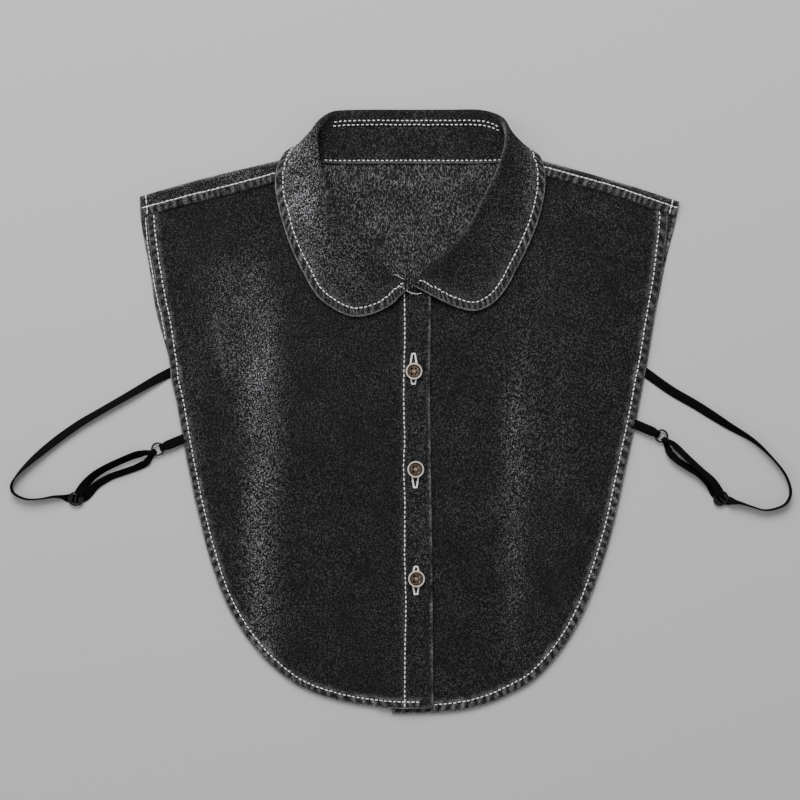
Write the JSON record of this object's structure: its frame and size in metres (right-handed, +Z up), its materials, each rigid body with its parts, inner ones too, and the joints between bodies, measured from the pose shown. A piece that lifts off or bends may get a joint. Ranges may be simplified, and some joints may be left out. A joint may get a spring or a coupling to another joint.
{
  "type": "detachable collar",
  "caption": "Denim dickey laid flat: buttoned half front, back panel, rounded turn-down collar on a neck band, and elastic side straps with rings and sliders.",
  "frame": {"origin": "middle of the back panel's underside, on the surface that it lies on", "axes": "+X to the right of the picture, the wearer's left; +Y towards the back of the neck; +Z up, out of the front"},
  "size_m": [0.5022, 0.3887, 0.0184],
  "materials": {
    "denim_washed_black": "matte",
    "denim_inside": "matte",
    "elastic_black": "matte",
    "metal_black": "gloss",
    "button_horn": "gloss"
  },
  "bodies": {
    "root": {"back_panel": "denim_inside", "front_left": "denim_washed_black", "front_right": "denim_washed_black", "placket": "denim_washed_black", "collar_stand": "denim_washed_black", "collar_leaf": "denim_washed_black", "button_top": "button_horn", "button_middle": "button_horn", "button_bottom": "button_horn", "strap_left": "elastic_black", "strap_right": "elastic_black", "tab_left": "elastic_black", "tab_right": "elastic_black", "ring_left": "metal_black", "ring_right": "metal_black", "slider_left": "metal_black", "slider_right": "metal_black"}
  },
  "joints": []
}
